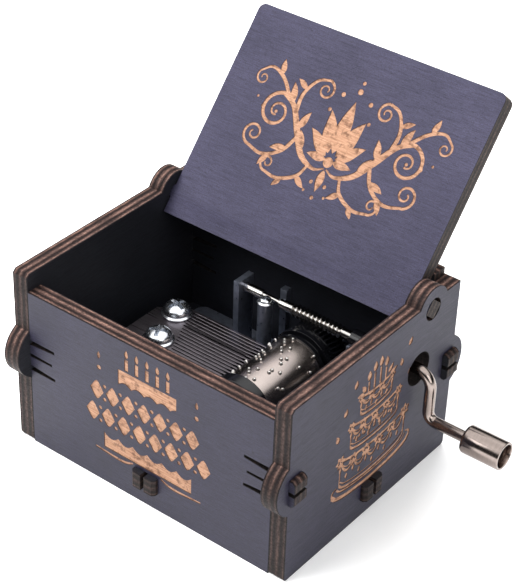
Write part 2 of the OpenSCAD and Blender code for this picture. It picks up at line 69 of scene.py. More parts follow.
# ---------------------------------------------------------------- materials
class Mat:
    """A node material around one Principled shader."""

    def __init__(self, name):
        self.mat = bpy.data.materials.new(name)
        self.mat.use_nodes = True
        self.tree = self.mat.node_tree
        self.tree.nodes.clear()
        out = self.add("ShaderNodeOutputMaterial")
        self.shader = self.add("ShaderNodeBsdfPrincipled")
        self.link(self.shader.outputs[0], out.inputs[0])
        self.coord = self.add("ShaderNodeTexCoord").outputs["Object"]

    def add(self, kind, **values):
        n = self.tree.nodes.new(kind)
        for k, v in values.items():
            setattr(n, k, v)
        return n

    def link(self, a, b):
        self.tree.links.new(a, b)

    def set(self, **values):
        for k, v in values.items():
            self.shader.inputs[k.replace("_", " ")].default_value = v

    def to(self, socket_name, source):
        self.link(source, self.shader.inputs[socket_name.replace("_", " ")])

    def stretched(self, scale):
        """Object coordinates in metres times a scale for each axis."""
        m = self.add("ShaderNodeMapping")
        m.inputs["Scale"].default_value = scale
        self.link(self.coord, m.inputs["Vector"])
        return m.outputs[0]

    def noise(self, scale, detail=4, rough=0.6, distort=0.0):
        n = self.add("ShaderNodeTexNoise")
        n.inputs["Scale"].default_value = 1.0
        n.inputs["Detail"].default_value = detail
        n.inputs["Roughness"].default_value = rough
        n.inputs["Distortion"].default_value = distort
        self.link(self.stretched(scale), n.inputs["Vector"])
        return n.outputs["Fac"]

    def ramp(self, source, stops):
        r = self.add("ShaderNodeValToRGB")
        elements = r.color_ramp.elements
        while len(elements) < len(stops):
            elements.new(0.5)
        for element, (position, colour) in zip(elements, stops):
            element.position = position
            element.color = (*colour, 1.0)
        self.link(source, r.inputs[0])
        return r.outputs[0]

    def remap(self, source, a, b, c, d):
        m = self.add("ShaderNodeMapRange")
        for i, v in zip((1, 2, 3, 4), (a, b, c, d)):
            m.inputs[i].default_value = v
        self.link(source, m.inputs[0])
        return m.outputs[0]

    def mix(self, fac, a, b, blend="MIX"):
        m = self.add("ShaderNodeMix", data_type="RGBA", blend_type=blend)
        if isinstance(fac, float):
            m.inputs[0].default_value = fac
        else:
            self.link(fac, m.inputs[0])
        for source, i in ((a, 6), (b, 7)):
            if isinstance(source, tuple):
                m.inputs[i].default_value = (*source, 1.0)
            else:
                self.link(source, m.inputs[i])
        return m.outputs[2]

    def math(self, op, a, b=None):
        m = self.add("ShaderNodeMath", operation=op)
        for i, v in enumerate((a, b)):
            if v is None:
                continue
            if isinstance(v, (int, float)):
                m.inputs[i].default_value = v
            else:
                self.link(v, m.inputs[i])
        return m.outputs[0]

    def dot(self, axis):
        d = self.add("ShaderNodeVectorMath", operation="DOT_PRODUCT")
        d.inputs[1].default_value = axis
        self.link(self.coord, d.inputs[0])
        return d.outputs["Value"]

    def upness(self):
        """How far a face looks up in the object's own frame, from -1 to 1."""
        normal = self.add("ShaderNodeSeparateXYZ")
        self.link(self.add("ShaderNodeTexCoord").outputs["Normal"], normal.inputs[0])
        return normal.outputs["Z"]

    def bump(self, height, distance, strength=1.0):
        b = self.add("ShaderNodeBump")
        b.inputs["Distance"].default_value = distance
        b.inputs["Strength"].default_value = strength
        self.link(height, b.inputs["Height"])
        self.to("Normal", b.outputs[0])


def srgb(r, g, b):
    """A linear colour from sRGB values up to 255."""
    return tuple(
        c / 255 / 12.92 if c / 255 <= 0.04045 else ((c / 255 + 0.055) / 1.055) ** 2.4
        for c in (r, g, b)
    )


def grey(value):
    return (value, value, value)


def grain_scale(grain, along, across):
    """Noise scale for a grain direction: low along the grain, high across it."""
    return tuple(along if abs(g) > 0.5 else across for g in grain)


def stained_face(name, grain, dark, light):
    """The stained face of the plywood: fine grain, open pores, uneven stain."""
    m = Mat(name)
    fine = m.noise(grain_scale(grain, 250, 4200), detail=5, rough=0.7, distort=0.3)
    cloud = m.noise((75, 75, 75), detail=3, rough=0.5)
    middle = tuple((a + b) / 2 for a, b in zip(dark, light))
    bright = tuple(c * 1.15 for c in light)
    base = m.ramp(fine, [(0.2, dark), (0.36, middle), (0.55, light), (0.8, bright)])
    patch = m.ramp(cloud, [(0.3, (0.82, 0.82, 0.84)), (0.75, (1.14, 1.13, 1.12))])
    colour = m.mix(1.0, base, patch, "MULTIPLY")
    pores = m.noise(grain_scale(grain, 1100, 9000), detail=2, rough=0.5)
    pore_mask = m.ramp(pores, [(0.3, grey(0.8)), (0.37, grey(0))])
    fleck = m.noise((5200, 5200, 5200), detail=2)
    speckle = m.ramp(fleck, [(0.3, grey(0.7)), (0.5, grey(1)), (0.72, grey(1.32))])
    colour = m.mix(1.0, colour, speckle, "MULTIPLY")
    m.to("Base_Color", m.mix(pore_mask, colour, tuple(c * 0.5 for c in dark)))
    m.to("Roughness", m.remap(fine, 0.2, 0.8, 0.62, 0.46))
    m.set(Specular_IOR_Level=0.36)
    m.bump(m.mix(0.6, fine, pores), 0.00006, 0.55)
    return m.mat


def burnt_edge(name, axis, start):
    """A laser-cut edge: plies seen end-on, burnt brown, darkest at the glue lines, with painted shade on
    edges that face sideways or down.

    axis is the panel's thickness direction and start its coordinate in mm at the first face."""
    m = Mat(name)
    depth = m.math("MULTIPLY_ADD", m.dot(axis), 1 / (PLY * MM))
    depth.node.inputs[2].default_value = -start / PLY
    wobble = m.noise((500, 500, 500), detail=2)
    depth = m.math("ADD", depth, m.math("MULTIPLY", m.math("SUBTRACT", wobble, 0.5), 0.05))
    stain, char, dark = srgb(26, 23, 28), srgb(17, 12, 12), srgb(32, 24, 24)
    brown, tan = srgb(62, 46, 43), srgb(110, 88, 81)
    layers = m.ramp(depth, [
        (0.0, stain), (0.07, dark), (0.12, tan), (0.2, brown), (0.27, char),
        (0.33, dark), (0.4, brown), (0.52, tan), (0.6, brown), (0.68, char),
        (0.74, dark), (0.82, brown), (0.9, tan), (0.95, dark), (1.0, stain),
    ])
    streaks = m.noise(tuple(2600 if abs(a) > 0.5 else 480 for a in axis), detail=4, rough=0.75)
    streak_shade = m.ramp(
        streaks, [(0.32, (0.45, 0.44, 0.44)), (0.5, (1.0, 0.98, 0.97)), (0.68, (1.66, 1.56, 1.46))]
    )
    layers = m.mix(1.0, layers, streak_shade, "MULTIPLY")
    fibre = m.noise((2600, 2600, 2600), detail=4, rough=0.7)
    ridges = m.noise(tuple(5200 if abs(a) < 0.5 else 700 for a in axis), detail=3)
    fibre_shade = m.ramp(
        fibre, [(0.34, (0.42, 0.41, 0.41)), (0.5, (0.98, 0.97, 0.96)), (0.66, (1.5, 1.46, 1.4))]
    )
    colour = m.mix(1.0, layers, fibre_shade, "MULTIPLY")
    # Painted shade: edges that face sideways or down are mixed two thirds of the way to char, so up-facing
    # edges look lit.
    colour = m.mix(m.remap(m.upness(), 0.3, 0.9, 0.66, 0.0), colour, char)
    burn = m.noise((160, 160, 160), detail=3)
    m.to("Base_Color", m.mix(m.ramp(burn, [(0.35, grey(0.55)), (0.6, grey(0))]), colour, char))
    m.to("Roughness", m.remap(fibre, 0.3, 0.7, 0.75, 0.5))
    m.set(Specular_IOR_Level=0.2)
    m.bump(m.mix(0.5, fibre, ridges), 0.00008, 0.6)
    return m.mat


def charred(name):
    """The walls of narrow laser cuts: soot black with a trace of brown."""
    m = Mat(name)
    soot = m.noise((1900, 1900, 1900), detail=4, rough=0.65)
    colours = [(0.35, srgb(10, 9, 9)), (0.6, srgb(24, 18, 17)), (0.8, srgb(52, 37, 31))]
    m.to("Base_Color", m.ramp(soot, colours))
    m.to("Roughness", m.remap(soot, 0.3, 0.7, 0.9, 0.6))
    m.set(Specular_IOR_Level=0.25)
    m.bump(soot, 0.00006, 0.5)
    return m.mat


BARE_WOOD = srgb(106, 75, 57), srgb(160, 120, 95), srgb(194, 154, 126)
SCORCHED_WOOD = srgb(52, 36, 30), srgb(84, 60, 48), srgb(112, 82, 65)


def engraved_wood(name, grain, colours=BARE_WOOD):
    """Bare wood laid open by the laser: tan, streaked along the grain and a little scorched."""
    m = Mat(name)
    fine = m.noise(grain_scale(grain, 300, 3800), detail=5, rough=0.7)
    scorch = m.noise((900, 900, 900), detail=3, rough=0.6)
    base = m.ramp(fine, list(zip((0.25, 0.45, 0.75), colours)))
    scorched = m.ramp(scorch, [(0.34, grey(0.75)), (0.5, grey(0))])
    m.to("Base_Color", m.mix(scorched, base, srgb(84, 55, 42)))
    m.to("Roughness", m.remap(fine, 0.2, 0.8, 0.85, 0.65))
    m.set(Specular_IOR_Level=0.3)
    m.bump(fine, 0.00005, 0.5)
    return m.mat


def metal(name, colour, rough, scale, spread=0.08, bump=0.0, tint=0.12, metallic=1.0):
    """A metal whose roughness, colour and surface vary with noise of the given scale."""
    m = Mat(name)
    grain = m.noise(scale, detail=4, rough=0.6)
    cloud = m.noise((350, 350, 350), detail=3)
    dark = tuple(c * (1 - tint) for c in colour)
    light = tuple(min(1, c * (1 + tint)) for c in colour)
    base = m.ramp(grain, [(0.3, dark), (0.7, light)])
    m.to("Base_Color", m.mix(m.remap(cloud, 0.35, 0.75, 0.0, 0.35), base, dark))
    m.to("Roughness", m.remap(grain, 0.25, 0.75, max(0.02, rough - spread), rough + spread))
    m.set(Metallic=metallic)
    if bump:
        m.bump(grain, bump, 0.5)
    return m.mat


def plastic(name, colour, rough, specular=0.5):
    """A moulded plastic or resin with a fine uneven gloss."""
    m = Mat(name)
    m.set(Specular_IOR_Level=specular)
    grain = m.noise((1800, 1800, 1800), detail=3)
    dark, light = (tuple(c * k for c in colour) for k in (0.7, 1.3))
    m.to("Base_Color", m.ramp(grain, [(0.3, dark), (0.7, light)]))
    m.to("Roughness", m.remap(grain, 0.3, 0.7, rough - 0.05, rough + 0.07))
    m.bump(grain, 0.00001, 0.4)
    return m.mat


FACE_DARK, FACE_LIGHT = srgb(19, 18, 31), srgb(34, 32, 51)
# Painted sheen: the lid's stain is a lighter copy of the walls' stain, standing for light the lid catches
# from above.
LID_SHEEN_DARK, LID_SHEEN_LIGHT = srgb(31, 30, 44), srgb(54, 52, 72)
# Painted shade: the inner faces get a darker copy of the stain than the outer faces, for the shade inside
# the case.
INNER_SHADE_DARK, INNER_SHADE_LIGHT = srgb(14, 15, 19), srgb(26, 27, 33)
lid_normal = Vector((0, -math.sin(LID_TILT), math.cos(LID_TILT)))
lid_along = Vector((0, math.cos(LID_TILT), math.sin(LID_TILT)))

zinc = metal("cast_zinc", srgb(146, 152, 168), 0.34, (900, 900, 900),
             spread=0.1, bump=0.00002, tint=0.2, metallic=0.9)
comb_steel = metal("comb_steel", srgb(114, 108, 113), 0.3, (160, 5200, 3000),
                   spread=0.06, bump=0.00001, tint=0.2)
# Painted shade: the comb's walls are a darker, rougher copy of its steel, for the shade in the slits.
comb_shaded_walls = metal("comb_shaded_walls", srgb(40, 37, 39), 0.5, (2500, 2500, 2500), bump=0.00001, tint=0.2)
lead = metal("lead", srgb(92, 92, 98), 0.6, (2500, 2500, 2500), spread=0.1, bump=0.00003, tint=0.2)
screw_steel = metal("screw_steel", srgb(226, 229, 234), 0.24, (1500, 1500, 1500), bump=0.00001, tint=0.1)
drum_steel = metal("drum_steel", srgb(192, 180, 174), 0.24, (700, 900, 700), spread=0.02, tint=0.04)
pin_steel = metal("pin_steel", srgb(238, 234, 230), 0.3, (2500, 2500, 2500))
# Near-black rings at the pins' feet, standing for the shade around each pin.
pin_shade = plastic("pin_shade", srgb(30, 26, 26), 0.45)
bright_steel = metal("bright_steel", srgb(206, 202, 198), 0.16, (3800, 200, 200), spread=0.06, tint=0.08)
nickel = metal("nickel_plate", srgb(146, 134, 128), 0.15, (2600, 500, 500), spread=0.06, tint=0.08)
black = plastic("black_plastic", srgb(11, 11, 14), 0.15, 0.45)


# ---------------------------------------------------------------- mesh helpers
def new_object(name, bm, materials, smooth_deg=30):
    mesh = bpy.data.meshes.new(name)
    bm.to_mesh(mesh)
    bm.free()
    return mesh_object(name, mesh, materials, smooth_deg)


def mesh_object(name, mesh, materials, smooth_deg=30):
    """An object of a mesh with these materials, smooth up to the given angle."""
    slots = [0] * len(mesh.polygons)
    mesh.polygons.foreach_get("material_index", slots)
    mesh.materials.clear()
    for material in materials:
        mesh.materials.append(material)
    mesh.polygons.foreach_set("material_index", slots)
    mesh.polygons.foreach_set("use_smooth", [True] * len(mesh.polygons))
    mesh.set_sharp_from_angle(angle=math.radians(smooth_deg))
    obj = bpy.data.objects.new(name, mesh)
    scene.collection.objects.link(obj)
    return obj


def baked(obj):
    """The object's mesh with its modifiers applied."""
    depsgraph = bpy.context.evaluated_depsgraph_get()
    mesh = bpy.data.meshes.new_from_object(obj.evaluated_get(depsgraph), depsgraph=depsgraph)
    obj.modifiers.clear()
    return mesh


def cad_solid(node):
    """A clean bmesh of a CAD node: seams welded and flat faces joined."""
    bm = bmesh.new()
    bm.from_mesh(nodes[node].data)
    bmesh.ops.remove_doubles(bm, verts=bm.verts, dist=2e-7)
    bmesh.ops.dissolve_limit(bm, angle_limit=math.radians(0.5), verts=bm.verts, edges=bm.edges)
    return bm


def bevelled(node, width, segments=2):
    """A copy of a CAD node with its sharp edges eased by a width in mm."""
    bm = cad_solid(node)
    mesh = bpy.data.meshes.new(node + "_eased")
    bm.to_mesh(mesh)
    bm.free()
    for attribute in [a.name for a in mesh.attributes if a.name.startswith("custom_normal")]:
        mesh.attributes.remove(mesh.attributes[attribute])
    obj = bpy.data.objects.new(node + "_eased", mesh)
    scene.collection.objects.link(obj)
    mod = obj.modifiers.new("ease", "BEVEL")
    mod.width = width * MM
    mod.segments = segments
    mod.limit_method = "ANGLE"
    mod.angle_limit = math.radians(EASED_DEG)
    obj.data = baked(obj)
    return obj


def eased_stand_in(node, name, width, material, body):
    """Shows a CAD node as a copy with eased edges in one material."""
    source = bevelled(node, width)
    stand_in(mesh_object(name, source.data, [material], FLAT_DEG), node, body)
    bpy.data.objects.remove(source, do_unlink=True)


def stand_in(obj, node, body):
    """Makes an object ride on a body in place of a CAD node."""
    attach(obj, body)
    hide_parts(node)


# ---------------------------------------------------------------- engraved ornament
def smooth_curve(points, steps=8):
    """Catmull-Rom points through the given points; each is (x, y, half_width)."""
    pts = [Vector(p) for p in points]
    pts = [2 * pts[0] - pts[1]] + pts + [2 * pts[-1] - pts[-2]]
    out = []
    for i in range(1, len(pts) - 2):
        p0, p1, p2, p3 = pts[i - 1 : i + 3]
        for k in range(steps):
            t = k / steps
            linear, square = p2 - p0, 2 * p0 - 5 * p1 + 4 * p2 - p3
            cube = 3 * p1 - p0 - 3 * p2 + p3
            out.append(0.5 * (2 * p1 + linear * t + square * t * t + cube * t ** 3))
    out.append(pts[-2])
    return out


def ribbon(path):
    """The closed outline of a stroke whose points are (x, y, half_width)."""
    left, right = [], []
    for i, p in enumerate(path):
        a, b = path[max(i - 1, 0)], path[min(i + 1, len(path) - 1)]
        d = Vector((b[0] - a[0], b[1] - a[1])).normalized()
        w = max(p[2], 0.07)
        left.append((p[0] - d.y * w, p[1] + d.x * w))
        right.append((p[0] + d.y * w, p[1] - d.x * w))
    return left + right[::-1]


def stroke(*points, steps=8):
    """A smooth stroke through points (x, y, half_width)."""
    return [ribbon(smooth_curve(points, steps))]


def curl(cx, cy, r0, r1, a0, turns, w0, w1):
    """A spiral stroke from radius r0 at angle a0 (degrees) to r1, w0 to w1 wide on each side."""
    n = max(10, int(abs(turns) * 26))
    path = []
    for i in range(n + 1):
        t = i / n
        r = r0 + (r1 - r0) * t ** 0.8
        a = math.radians(a0 + 360 * turns * t)
        path.append((cx + r * math.cos(a), cy + r * math.sin(a), w0 + (w1 - w0) * t))
    return [ribbon(path)]


def disc(x, y, r, n=14):
    angles = [2 * math.pi * i / n for i in range(n)]
    return [[(x + r * math.cos(a), y + r * math.sin(a)) for a in angles]]


def leaf(x, y, angle, length, width, bend=0.0):
    """A pointed leaf or flame from (x, y) along an angle in degrees, bent sideways."""
    n = 9
    a = math.radians(angle)
    ux, uy = math.cos(a), math.sin(a)
    top, low = [], []
    for i in range(n + 1):
        t = i / n
        mid = bend * length * math.sin(math.pi * t / 2) ** 2
        half = width / 2 * math.sin(math.pi * t ** 0.8) + 0.02
        for side, line in ((1, top), (-1, low)):
            o = mid + side * half
            line.append((x + ux * length * t - uy * o, y + uy * length * t + ux * o))
    return [top + low[::-1]]


def mirrored(shapes):
    """The shapes and their mirror images across x = 0."""
    return shapes + [[(-x, y) for x, y in reversed(s)] for s in shapes]


def box(x0, y0, x1, y1):
    return [[(x0, y0), (x1, y0), (x1, y1), (x0, y1)]]


def lozenge(x, y, wide, tall):
    """A lozenge with blunted top and bottom corners."""
    blunt, shoulder = 0.5, tall * 0.82
    return [[(x - wide, y), (x - blunt, y - shoulder), (x, y - tall), (x + blunt, y - shoulder),
             (x + wide, y), (x + blunt, y + shoulder), (x, y + tall), (x - blunt, y + shoulder)]]


def moved(shapes, dx, dy, scale):
    return [[(x * scale + dx, y * scale + dy) for x, y in s] for s in shapes]


def lid_ornament():
    """Scrollwork around a stylised flower, on (x, distance from the pivot)."""
    half = stroke((0.2, -6.4, 0.15), (2.6, -7.2, 0.35), (6.2, -5.6, 0.62), (9.2, -1.6, 0.7),
                  (12.2, 2.6, 0.55), (15.4, 4.3, 0.4))
    half += curl(15.3, 0.4, 3.9, 0.7, 92, -1.55, 0.42, 0.2)
    half += stroke((8.6, -2.8, 0.45), (10.6, -6.4, 0.42), (14.4, -8.4, 0.36), (18.4, -7.6, 0.3))
    half += curl(18.0, -5.2, 2.5, 0.5, -82, 1.4, 0.32, 0.18)
    half += stroke((3.8, -7.0, 0.3), (5.2, -9.8, 0.4), (9.0, -11.6, 0.36), (12.4, -11.2, 0.28))
    half += curl(12.3, -9.5, 1.75, 0.4, -88, 1.25, 0.28, 0.16)
    half += stroke((11.2, 1.4, 0.5), (11.4, 5.4, 0.42), (9.6, 8.8, 0.34), (7.0, 9.8, 0.28))
    half += curl(7.1, 7.7, 2.1, 0.45, 92, 1.35, 0.3, 0.16)
    half += stroke((14.0, 4.0, 0.4), (17.0, 7.0, 0.4), (20.2, 8.2, 0.3), (22.6, 6.6, 0.22))
    half += curl(21.3, 5.6, 1.6, 0.35, 40, -1.2, 0.24, 0.15)
    for x, y, angle, length, width, bend in (
        (6.6, -5.2, 60, 4.4, 1.7, 0.1), (9.4, -1.2, 118, 4.2, 1.6, -0.12),
        (9.9, -5.4, -28, 3.6, 1.5, 0.15), (12.6, 3.0, 62, 4.3, 1.6, 0.12),
        (5.4, -9.8, 205, 3.2, 1.3, 0.1), (13.0, -8.0, -70, 3.0, 1.3, 0.1),
        (17.6, 7.4, 84, 3.2, 1.3, -0.1), (11.0, 6.6, 20, 3.0, 1.2, 0.1),
        (8.0, -11.4, -60, 2.4, 1.1, 0.1),
    ):
        half += leaf(x, y, angle, length, width, bend)
    half += leaf(0.9, -3.4, 62, 8.6, 3.1, 0.12)
    half += leaf(1.1, -4.0, 28, 6.6, 2.4, 0.16)
    half += leaf(0.8, -4.6, -8, 4.4, 1.7, 0.1)
    half += disc(3.2, 8.2, 0.5) + disc(4.6, 4.6, 0.42) + disc(18.6, 0.4, 0.42) + disc(20.6, 1.8, 0.3)
    half += disc(1.6, -9.6, 0.42) + disc(15.4, 0.3, 0.38) + disc(2.4, -11.6, 0.32)
    centre = leaf(0, -3.2, 90, 11.0, 3.2) + disc(0, -5.0, 1.1) + disc(0, 9.8, 0.62) + disc(0, 11.6, 0.4)
    centre += leaf(0, -6.6, -90, 4.6, 1.7) + disc(0, -12.4, 0.42)
    return moved(mirrored(half) + centre, 0.4, 21.6, 0.98)


def front_ornament():
    """A two-tier cake with five candles and a band of lozenges, on (x, z)."""
    shapes = []
    for i in range(5):
        x = -4.6 + 2.4 * i
        shapes += box(x - 0.42, 28.5, x + 0.42, 31.0)
        shapes += leaf(x, 31.2, 90, 1.9, 0.85)
    n = 36
    icing = []
    for i in range(n + 1):
        x = -6.6 + 13.6 * i / n
        icing.append((x, 24.7 + 0.75 * abs(math.sin(math.pi * 4.5 * i / n))))
    shapes += [icing + [(7.0, 28.1), (-6.6, 28.1)]]
    for z, count, x0 in ((20.9, 7, -11.8), (15.6, 8, -12.9)):
        for i in range(count):
            x = x0 + i * 3.75
            shapes += lozenge(x, z, 1.62, 2.15)
            if i < count - 1:
                shapes += disc(x + 1.87, z + 1.5, 0.42, 10) + disc(x + 1.87, z - 1.5, 0.42, 10)
    icing = []
    for i in range(n + 1):
        x = 10.6 - 20.8 * i / n
        icing.append((x, 11.9 - 0.95 * abs(math.sin(math.pi * 6 * i / n))))
    shapes += [[(-10.2, 8.4), (10.6, 8.4)] + icing]
    shapes += stroke((-12.4, 7.5, 0.2), (-6, 7.15, 0.32), (-3.2, 7.95, 0.2), steps=5)
    shapes += stroke((3.4, 7.95, 0.2), (6.4, 7.15, 0.32), (12.8, 7.5, 0.2), steps=5)
    for x in (-11.2, 11.6):
        shapes += disc(x, 26.2, 0.5, 10) + leaf(x, 28.2, 90, 1.6, 0.7)
    return shapes


def flower(x, y, r, turn):
    """An open flower: separate petals around a small eye."""
    petals = 6
    shapes = disc(x, y, r * 0.2, 10)
    for i in range(petals):
        a = turn + 360 * i / petals
        c, d = math.cos(math.radians(a)), math.sin(math.radians(a))
        shapes += leaf(x + c * r * 0.26, y + d * r * 0.26, a, r * 0.8, r * 0.62)
    return shapes


def side_ornament():
    """A three-tier cake on a stand with flowers and candles, drawn in line, on (y, z)."""
    shapes = []

    def rim(z, sag, t):
        return z - sag * math.sqrt(max(0.0, 1 - t * t))

    def arc(half, z, sag, w, n=20):
        steps = [-1 + 2 * i / n for i in range(n + 1)]
        return [ribbon([(half * t, rim(z, sag, t), w) for t in steps])]

    def swag(y, z, y2, z2, depth, w):
        """A garland that hangs from (y, z) to (y2, z2)."""
        return stroke((y, z, w * 0.7), ((y * 3 + y2) / 4, (z * 3 + z2) / 4 - depth * 0.75, w),
                      ((y + y2) / 2, (z + z2) / 2 - depth, w * 1.15),
                      ((y + y2 * 3) / 4, (z + z2 * 3) / 4 - depth * 0.75, w), (y2, z2, w * 0.7), steps=4)

    shapes += arc(12.0, 10.6, 2.45, 0.46, 26) + arc(10.7, 11.6, 2.1, 0.24, 24)
    for s in (-1, 1):
        shapes += stroke((s * 12.0, 10.5, 0.3), (s * 11.9, 11.6, 0.26), (s * 10.7, 12.1, 0.2), steps=5)

    # Each tier's half width, lower and upper rim, sag of the rims, garlands and flower size
    tiers = (
        (9.9, 11.9, 18.3, 1.9, 5, 1.45),
        (7.2, 19.2, 24.6, 1.4, 4, 1.2),
        (4.7, 25.4, 29.6, 1.0, 3, 1.0),
    )
    for half, low, top, sag, swags, bloom in tiers:
        for s in (-1, 1):
            shapes += stroke((s * half, low, 0.22), (s * half, top, 0.22), steps=2)
        shapes += arc(half, top, sag, 0.34) + arc(half, low + 0.1, sag, 0.3)
        shapes += arc(half * 0.98, low + 1.0, sag, 0.16)
        for k in range(swags + 1):
            t = -1 + 2 * k / swags
            y, z = half * t, rim(top, sag, t) - 0.75
            shapes += flower(y, z, bloom, 17 * k)
            shapes += leaf(y, z - bloom * 0.9, -90, 1.5, 0.75)
            if k < swags:
                t2 = -1 + 2 * (k + 1) / swags
                y2, z2 = half * t2, rim(top, sag, t2) - 0.75
                for drape, w in ((0.34, 0.26), (0.2, 0.15)):
                    shapes += swag(y, z, y2, z2, drape * (top - low), w)
                shapes += leaf((y + y2) / 2, (z + z2) / 2 - 0.44 * (top - low), -90, 1.4, 0.8)
    for i in range(9):
        t = -0.88 + 1.76 * i / 8
        shapes += disc(6.9 * t, rim(21.55, 1.4, t), 0.42, 10)
    for y, tall in ((-2.7, 2.4), (-1.0, 3.5), (0.8, 3.7), (2.5, 2.7)):
        shapes += box(y - 0.3, 29.0, y + 0.3, 29.0 + tall) + leaf(y, 29.15 + tall, 90, 2.3, 1.3)
    for y, z, angle in ((-3.4, 29.6, 128), (-3.9, 29.2, 165), (3.3, 29.8, 52), (3.9, 29.4, 15)):
        shapes += leaf(y, z, angle, 2.3, 1.1)
    for y, z, angle in (
        (-9.6, 27.4, 70), (-11.0, 22.6, 110), (-6.8, 32.0, 80),
        (9.4, 32.4, 60), (7.6, 29.0, 100), (10.4, 25.2, 90),
    ):
        shapes += leaf(y, z, angle, 1.9, 1.15)
    return shapes


# A panel's material slots
FACE, EDGE, ENGRAVED, SHADED_INNER, CHARRED, SCORCHED = range(6)


def engrave(obj, shapes, place):
    """Cuts flat shapes into an object; place(u, v, w) gives a point w above the face, in mm."""
    depth, proud = 0.14, 0.3
    bm = bmesh.new()
    for shape in shapes:
        area = sum(a[0] * b[1] - b[0] * a[1] for a, b in zip(shape, shape[1:] + shape[:1]))
        pts = shape if area > 0 else shape[::-1]
        low = [bm.verts.new(place(u, v, -depth)) for u, v in pts]
        top = [bm.verts.new(place(u, v, proud)) for u, v in pts]
        bm.faces.new(low[::-1]).material_index = ENGRAVED
        bm.faces.new(top).material_index = ENGRAVED
        for i in range(len(pts)):
            j = (i + 1) % len(pts)
            bm.faces.new((low[i], low[j], top[j], top[i])).material_index = SCORCHED
    bmesh.ops.triangulate(bm, faces=[f for f in bm.faces if len(f.verts) > 4])
    bmesh.ops.recalc_face_normals(bm, faces=bm.faces)
    cutter = new_object(obj.name + "_cutter", bm, list(obj.data.materials))
    mod = obj.modifiers.new("engrave", "BOOLEAN")
    mod.operation = "DIFFERENCE"
    mod.solver = "EXACT"
    mod.use_self = True
    mod.object = cutter
    obj.data = baked(obj)
    bpy.data.objects.remove(cutter, do_unlink=True)
    return obj


# ---------------------------------------------------------------- the wooden case
def panel(node, axis, start, grain, body="case", inner=None, scorched=(),
          ornament=None, place=None, stain=(FACE_DARK, FACE_LIGHT)):
    """A plywood panel: stained faces, inner faces darkened as painted shade, burnt edges, and an engraving
    on one face.

    axis is the panel's thickness direction and start its coordinate in mm at the first face.
    inner is 1 or -1 if the face towards +axis or -axis lies inside the case. scorched holds
    tests for places where the cut walls are charred."""
    axis = Vector(axis)
    obj = bevelled(node, 0.07)
    face = stained_face(node + "_face", grain, *stain)
    edge = burnt_edge(node + "_edge", tuple(axis), start)
    cut = engraved_wood(node + "_engraved", grain)
    # The inner faces take the darker stain as painted shade.
    inside = stained_face(node + "_inner", grain, INNER_SHADE_DARK, INNER_SHADE_LIGHT)
    char = charred(node + "_charred")
    rim = engraved_wood(node + "_scorched", grain, SCORCHED_WOOD)
    materials = (face, edge, cut, inside, char, rim)
    obj.data.materials.clear()
    for material in materials:
        obj.data.materials.append(material)
    for p in obj.data.polygons:
        along = p.normal.dot(axis)
        p.material_index = EDGE if abs(along) < 0.99 else FACE
        if inner is not None and p.material_index == FACE and along * inner > 0:
            p.material_index = SHADED_INNER
        if p.material_index == EDGE and any(zone(p.center / MM) for zone in scorched):
            p.material_index = CHARRED
    if ornament:
        obj = engrave(obj, ornament, place)
    wood = mesh_object(node + "_wood", obj.data, materials, FLAT_DEG)
    bpy.data.objects.remove(obj, do_unlink=True)
    stand_in(wood, node, body)


def in_slits(p):
    """Inside the slits of a front or back panel's snap tabs."""
    return 22 < abs(p.x) < HALF_W - PLY - 0.01 and abs(p.z - 20.6) < 3.6


def in_slots(p):
    """Inside a side panel's slots for the tabs."""
    return 17.9 < p.z < 23.3 and abs(p.y) > HALF_D - PLY - 0.1 and abs(p.y) < HALF_D + 0.05


def in_low_slot(p):
    """Inside a wall's slot for the bottom panel's tab."""
    return 3.9 < p.z < 7.7 and min(abs(p.x), abs(p.y)) < 2.6


def in_crank_hole(p):
    return math.hypot(p.y - SHAFT_Y, p.z - SHAFT_Z) < 3.7


panel("left_side_panel", X_AXIS, -HALF_W, Y_AXIS, inner=1, scorched=(in_slots, in_low_slot))
panel("right_side_panel", X_AXIS, HALF_W - PLY, Y_AXIS, inner=-1, ornament=side_ornament(),
      scorched=(in_slots, in_low_slot, in_crank_hole),
      place=lambda u, v, w: Vector((HALF_W + w, u, v)) * MM)
panel("front_panel", Y_AXIS, -HALF_D, X_AXIS, inner=1, ornament=front_ornament(),
      scorched=(in_slits, in_low_slot),
      place=lambda u, v, w: Vector((u, -HALF_D - w, v)) * MM)
panel("back_panel", Y_AXIS, HALF_D - PLY, X_AXIS, inner=-1, scorched=(in_slits, in_low_slot))
panel("bottom_panel", Z_AXIS, BOTTOM_Z, X_AXIS, inner=1)
# The lid takes the lighter stain, as painted sheen.
panel("lid", lid_normal, PIVOT.dot(lid_normal) - PLY / 2, X_AXIS, body="lid", ornament=lid_ornament(),
      stain=(LID_SHEEN_DARK, LID_SHEEN_LIGHT),
      place=lambda u, v, w: (PIVOT + Vector((u, 0, 0)) + lid_along * v + lid_normal * (PLY / 2 + w)) * MM)


# ---------------------------------------------------------------- the movement
def skin(bm, rings):
    """Joins rings of points, or a ring and a single end point, with faces."""
    for a, b in zip(rings, rings[1:]):
        count = max(len(a), len(b))
        for i in range(count):
            j = (i + 1) % count
            if len(a) == 1:
                bm.faces.new((a[0], b[j], b[i]))
            elif len(b) == 1:
                bm.faces.new((a[i], a[j], b[0]))
            else:
                bm.faces.new((a[i], a[j], b[j], b[i]))


def circle(radius, segments):
    """Points (x, y, angle) around a circle."""
    angles = [2 * math.pi * i / segments for i in range(segments)]
    return [(radius * math.cos(a), radius * math.sin(a), a) for a in angles]


def lathe(bm, profile, place, segments):
    """A closed solid of revolution whose profile is a list of (radius, height) in mm."""
    rings = []
    for r, h in profile:
        if r == 0:
            rings.append([bm.verts.new(place(0, 0, h))])
        else:
            rings.append([bm.verts.new(place(x, y, h)) for x, y, _ in circle(r, segments)])
    skin(bm, rings)


